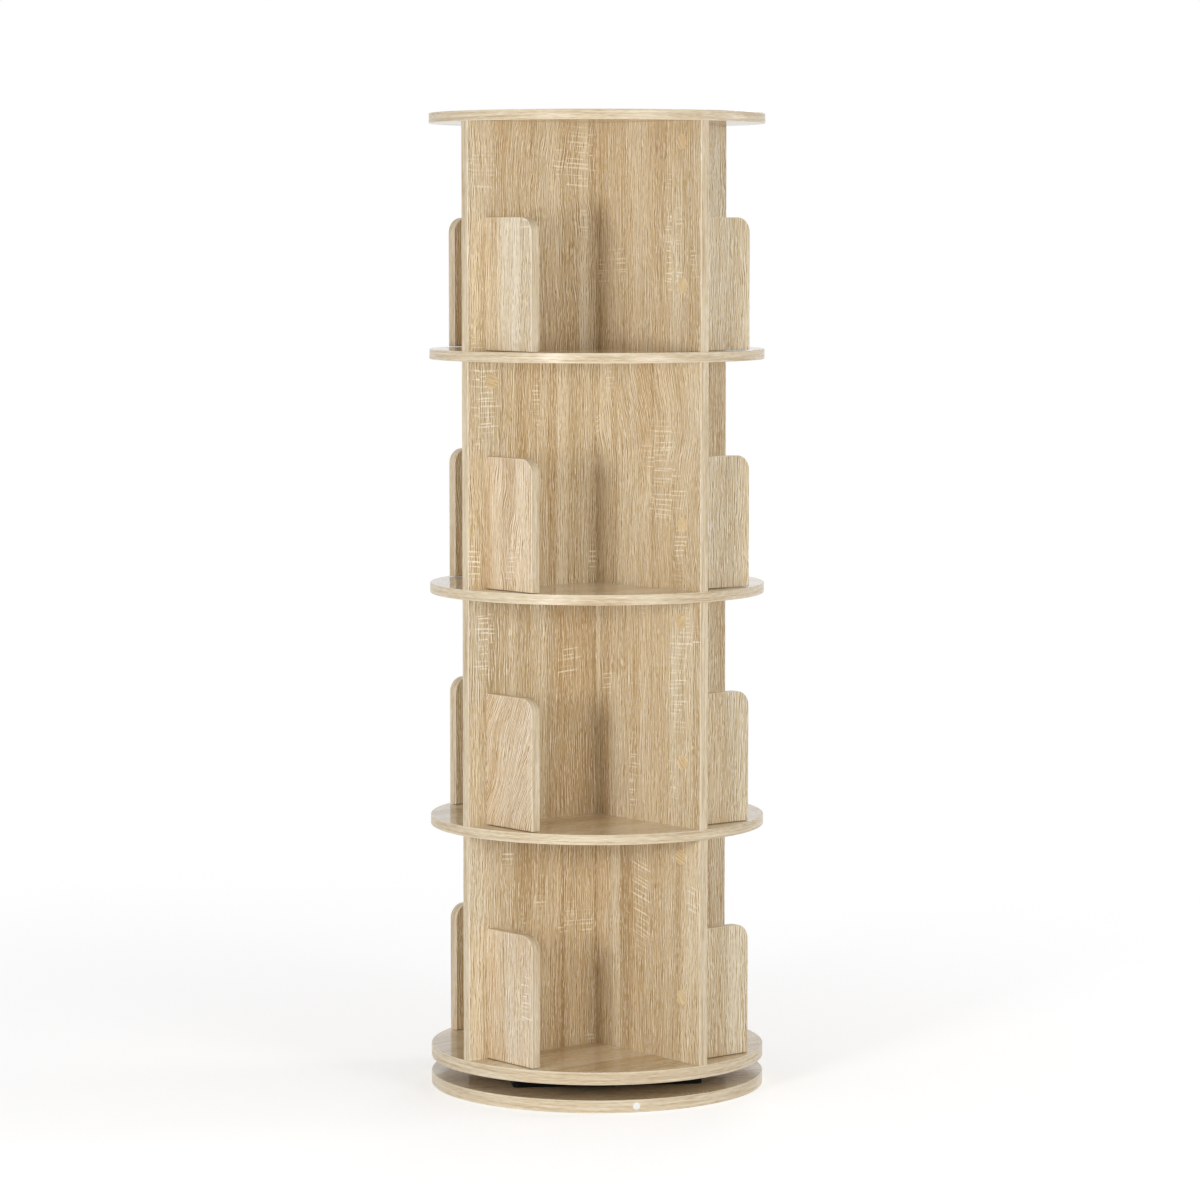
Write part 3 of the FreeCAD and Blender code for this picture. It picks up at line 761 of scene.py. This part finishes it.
def sticker_tree():
    """Puts one sticker on each point, flat against the board, and turns it at random."""
    tree = bpy.data.node_groups.new("cover_stickers", "GeometryNodeTree")
    tree.is_modifier = True
    face = tree.interface
    face.new_socket("Geometry", in_out="INPUT", socket_type="NodeSocketGeometry")
    keys = {}
    kinds = {
        "Radius": "Float", "Thickness": "Float", "Edge": "Float",
        "Shade": "Float", "Seed": "Int", "Film": "Material",
    }
    for name, kind in kinds.items():
        keys[name] = face.new_socket(name, in_out="INPUT", socket_type=f"NodeSocket{kind}").identifier
    face.new_socket("Geometry", in_out="OUTPUT", socket_type="NodeSocketGeometry")
    given = add(tree, "NodeGroupInput").node.outputs
    radius, thick, edge = given["Radius"], given["Thickness"], given["Edge"]

    # The blank: a thin disc with its upper edge rolled over by the punch.
    feeds = {
        "Vertices": cover_sides, "Side Segments": 2, "Fill Segments": 3,
        "Radius": radius, "Depth": thick,
    }
    blank = add(tree, "GeometryNodeMeshCylinder", feeds, give="Mesh")
    spot = add(tree, "GeometryNodeInputPosition")
    height = add(tree, "ShaderNodeSeparateXYZ", (spot,), give="Z")
    out = add(tree, "ShaderNodeVectorMath", (spot, (1.0, 1.0, 0.0)), operation="MULTIPLY")
    out = add(tree, "ShaderNodeVectorMath", (out,), give="Value", operation="LENGTH")
    upper = reckon(tree, "GREATER_THAN", height, reckon(tree, "MULTIPLY", thick, upper_share))
    rim = reckon(tree, "GREATER_THAN", out, reckon(tree, "MULTIPLY", radius, rim_share))
    drawn_in = reckon(tree, "SUBTRACT", 1.0, reckon(tree, "DIVIDE", edge, radius))
    drawn_in = add(tree, "ShaderNodeCombineXYZ", (drawn_in, drawn_in, 1.0))
    inward = add(tree, "ShaderNodeVectorMath", (spot, drawn_in), operation="MULTIPLY")
    feeds = {"Geometry": blank, "Selection": reckon(tree, "MULTIPLY", upper, rim), "Position": inward}
    blank = add(tree, "GeometryNodeSetPosition", feeds)
    waist = reckon(tree, "COMPARE", height, 0.0, reckon(tree, "MULTIPLY", thick, waist_share))
    rise = reckon(tree, "SUBTRACT", reckon(tree, "MULTIPLY", thick, 0.5), edge)
    feeds = {
        "Geometry": blank, "Selection": reckon(tree, "MULTIPLY", waist, rim),
        "Offset": add(tree, "ShaderNodeCombineXYZ", (0.0, 0.0, rise)),
    }
    blank = add(tree, "GeometryNodeSetPosition", feeds)
    lift = add(tree, "ShaderNodeCombineXYZ", (0.0, 0.0, reckon(tree, "MULTIPLY", thick, 0.5)))
    blank = add(tree, "GeometryNodeTransform", {"Geometry": blank, "Translation": lift})
    feeds = {"Geometry": blank, "Name": "film", "Value": spot}
    blank = add(tree, "GeometryNodeStoreNamedAttribute", feeds, data_type="FLOAT_VECTOR", domain="POINT")

    # One on each point, laid along the board's face. Each takes a part of the film, and its shade.
    facing = add(tree, "GeometryNodeInputNamedAttribute", {"Name": "facing"}, data_type="FLOAT_VECTOR")
    laid = add(tree, "FunctionNodeAlignRotationToVector", {"Vector": facing}, axis="Z")
    spin = add(
        tree, "FunctionNodeRandomValue", {2: 0.0, 3: math.tau, "Seed": given["Seed"]},
        give=1, data_type="FLOAT",
    )
    spin = add(tree, "FunctionNodeAxisAngleToRotation", {"Axis": (0.0, 0.0, 1.0), "Angle": spin})
    laid = add(tree, "FunctionNodeRotateRotation", {0: laid, 1: spin}, rotation_space="LOCAL")
    feeds = {"Points": given["Geometry"], "Instance": blank, "Rotation": laid}
    row = add(tree, "GeometryNodeInstanceOnPoints", feeds)
    nearest = add(tree, "ShaderNodeCombineXYZ", (0.0, 0.0, given["Shade"]))
    furthest = add(tree, "ShaderNodeCombineXYZ", (1.0, 1.0, given["Shade"]))
    feeds = {0: nearest, 1: furthest, "Seed": given["Seed"]}
    part = add(tree, "FunctionNodeRandomValue", feeds, data_type="FLOAT_VECTOR")
    feeds = {"Geometry": row, "Name": "part", "Value": part}
    row = add(tree, "GeometryNodeStoreNamedAttribute", feeds, data_type="FLOAT_VECTOR", domain="INSTANCE")
    whole = add(tree, "GeometryNodeRealizeInstances", {"Geometry": row})
    whole = add(tree, "GeometryNodeSetMaterial", {"Geometry": whole, "Material": given["Film"]})
    tree.links.new(whole, tree.nodes.new("NodeGroupOutput").inputs[0])
    return tree, keys


film_tones = (
    (0.20, (0.61, 0.440, 0.230)),
    (0.50, (0.75, 0.580, 0.345)),
    (0.80, (0.86, 0.720, 0.490)),
)
film_fine_cells, film_fleck_cells = (420.0, 40.0), (900.0, 120.0)
film_fine_weight, film_fleck_weight = 0.9, 0.7
film_rough, film_polish = 0.38, -0.12


def film_finish():
    finish, tree = new_finish("cover_film")
    on_film = add(tree, "ShaderNodeAttribute", give="Vector", attribute_name="film")
    part = add(tree, "ShaderNodeAttribute", give="Vector", attribute_name="part")
    place = add(tree, "ShaderNodeVectorMath", (on_film, part), operation="ADD")
    fine = streaks(tree, place, *film_fine_cells)
    fleck = streaks(tree, place, *film_fleck_cells, detail=1.0)
    shade = add(tree, "ShaderNodeSeparateXYZ", (part,), give="Z")
    sums = lean(tree, fine, film_fine_weight, shade)
    sums = lean(tree, fleck, film_fleck_weight, sums)
    feeds = {
        "Base Color": ramp(tree, sums, film_tones),
        "Roughness": reckon(tree, "MULTIPLY_ADD", sums, film_polish, film_rough),
        "Normal": add(tree, "ShaderNodeBump", {"Strength": 0.4, "Distance": grain_depth, "Height": fleck}),
    }
    close_finish(tree, add(tree, "ShaderNodeBsdfPrincipled", feeds))
    return finish


stickers, sticker_keys = sticker_tree()
film = film_finish()
arm_side = 6.0 * mm
tier_floors = [48.0 * mm, 327.0 * mm, 606.0 * mm, 885.0 * mm]


def stick_covers(node, reach, rise, shade, seed, turned_tiers=()):
    """Covers on one face of each arm, reach from the axis and rise above each shelf, of film of one shade.
    They are on the clockwise face, or on the other one in a turned tier."""
    spots, facings = [], []
    for tier, foot in enumerate(tier_floors, 1):
        clockwise = -1.0 if tier in turned_tiers else 1.0
        for quarter in range(4):
            turn = quarter * math.pi / 2
            arm = Vector((math.cos(turn), math.sin(turn), 0.0))
            side = clockwise * Vector((math.sin(turn), -math.cos(turn), 0.0))
            spots.append(arm * reach + side * arm_side + Vector((0.0, 0.0, foot + rise)))
            facings.append(side)
    points = bpy.data.meshes.new(node + "_points")
    points.from_pydata(spots, [], [])
    held = points.attributes.new("facing", "FLOAT_VECTOR", "POINT")
    held.data.foreach_set("vector", [c for side in facings for c in side])
    row = bpy.data.objects.new(node + "_stickers", points)
    bpy.context.scene.collection.objects.link(row)
    work = row.modifiers.new("stickers", "NODES")
    work.node_group = stickers
    sizes = {
        "Radius": cover_radius, "Thickness": cover_thickness, "Edge": cover_edge,
        "Shade": shade, "Seed": seed, "Film": film,
    }
    for name, value in sizes.items():
        work[sticker_keys[name]] = value
    whole = bpy.data.meshes.new_from_object(row.evaluated_get(bpy.context.evaluated_depsgraph_get()))
    row.modifiers.remove(work)
    row.data = whole
    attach(row, "carousel")
    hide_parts(node)


stick_covers("cam_covers", reach=163.5 * mm, rise=243.0 * mm, shade=0.38, seed=11, turned_tiers=(3,))
stick_covers("divider_screw_covers", reach=166.0 * mm, rise=76.6 * mm, shade=0.50, seed=23)


# Studio
# A white floor that runs back out of sight, and a plain white surround. A soft box stands to each
# side of the camera, two weaker ones light the side and the back, and a strip box edges the rims.

scene = bpy.context.scene
scene.view_settings.view_transform = "Standard"


def seen_directly(tree):
    """1 for rays from the camera, mirrors and glass, and 0 for those that carry light."""
    path = add(tree, "ShaderNodeLightPath").node.outputs
    seen = reckon(tree, "MAXIMUM", path["Is Camera Ray"], path["Is Glossy Ray"])
    return reckon(tree, "MAXIMUM", seen, path["Is Transmission Ray"])


surround_light = 0.48
world = bpy.data.worlds.new("white_surround")
scene.world = world
world.use_nodes = True
sky = world.node_tree
sky.nodes.clear()
feeds = {"Value": seen_directly(sky), "To Min": surround_light, "To Max": 1.0}
level = add(sky, "ShaderNodeMapRange", feeds)
glow = add(sky, "ShaderNodeBackground", {"Color": (1.0, 1.0, 1.0, 1.0), "Strength": level})
sky.links.new(glow, sky.nodes.new("ShaderNodeOutputWorld").inputs["Surface"])

floor_reach = 40.0
floor_white = (0.82, 0.82, 0.82, 1.0)
floor_lift = 0.40
fade_start, fade_end = 0.5, 2.0
corners = [(x * floor_reach, y * floor_reach, 0.0) for x, y in ((-1, -1), (1, -1), (1, 1), (-1, 1))]
sheet = bpy.data.meshes.new("floor")
sheet.from_pydata(corners, [], [(0, 1, 2, 3)])
floor = bpy.data.objects.new("floor", sheet)
scene.collection.objects.link(floor)
floor_paint, tree = new_finish("floor_white")
seen = seen_directly(tree)
spot = add(tree, "ShaderNodeTexCoord", give="Object")
away = add(tree, "ShaderNodeVectorMath", (spot,), give="Value", operation="LENGTH")
near = add(
    tree, "ShaderNodeAddShader",
    (
        add(tree, "ShaderNodeBsdfDiffuse", {"Color": floor_white}),
        add(tree, "ShaderNodeEmission", {"Strength": reckon(tree, "MULTIPLY", seen, floor_lift)}),
    ),
)
distant = reckon(tree, "MULTIPLY", seen, ease(tree, away, fade_start, fade_end))
white = add(tree, "ShaderNodeEmission", {"Strength": 1.0})
close_finish(tree, add(tree, "ShaderNodeMixShader", (distant, near, white)))
sheet.materials.append(floor_paint)

view_bearing = math.radians(39.08)
camera_back, camera_aside, camera_height = 5.146, 0.00358, 1.0219
camera_tilt = 0.085
focal_share = 4302.8 / 1200.0
ahead = Vector((math.sin(view_bearing), math.cos(view_bearing), 0.0))
aside = Vector((math.cos(view_bearing), -math.sin(view_bearing), 0.0))
upward = Vector((0.0, 0.0, 1.0))

# Each box's swing from the camera in degrees, its width and height in metres, and its power in watts.
soft_boxes = {
    "soft_box_left": (-30.0, 0.6, 0.82, 30.0),
    "strip_box": (-25.5, 0.3, 0.58, 6.0),
    "soft_box_right": (35.0, 0.9, 0.90, 20.0),
    "side_box": (105.0, 0.9, 1.50, 13.0),
    "back_box": (170.0, 1.2, 2.20, 14.0),
}
box_distance, box_height, aim_height = 3.0, 0.75, 0.6
for name, (swing, width, rise, power) in soft_boxes.items():
    lamp = bpy.data.lights.new(name, "AREA")
    lamp.shape = "RECTANGLE"
    lamp.size, lamp.size_y = width, box_height
    lamp.energy = power
    stand = bpy.data.objects.new(name, lamp)
    turn = math.radians(swing)
    stand.location = box_distance * (aside * math.sin(turn) - ahead * math.cos(turn)) + upward * rise
    aim = upward * aim_height - stand.location
    stand.rotation_euler = aim.to_track_quat("-Z", "Y").to_euler()
    scene.collection.objects.link(stand)

lens = bpy.data.cameras.new("camera")
lens.sensor_width = 36.0
lens.lens = focal_share * lens.sensor_width
lens.clip_end = 200.0
camera = bpy.data.objects.new("camera", lens)
camera.location = aside * camera_aside - ahead * camera_back + upward * camera_height
looking = ahead * math.cos(camera_tilt) - upward * math.sin(camera_tilt)
camera.rotation_euler = looking.to_track_quat("-Z", "Y").to_euler()
scene.collection.objects.link(camera)
scene.camera = camera
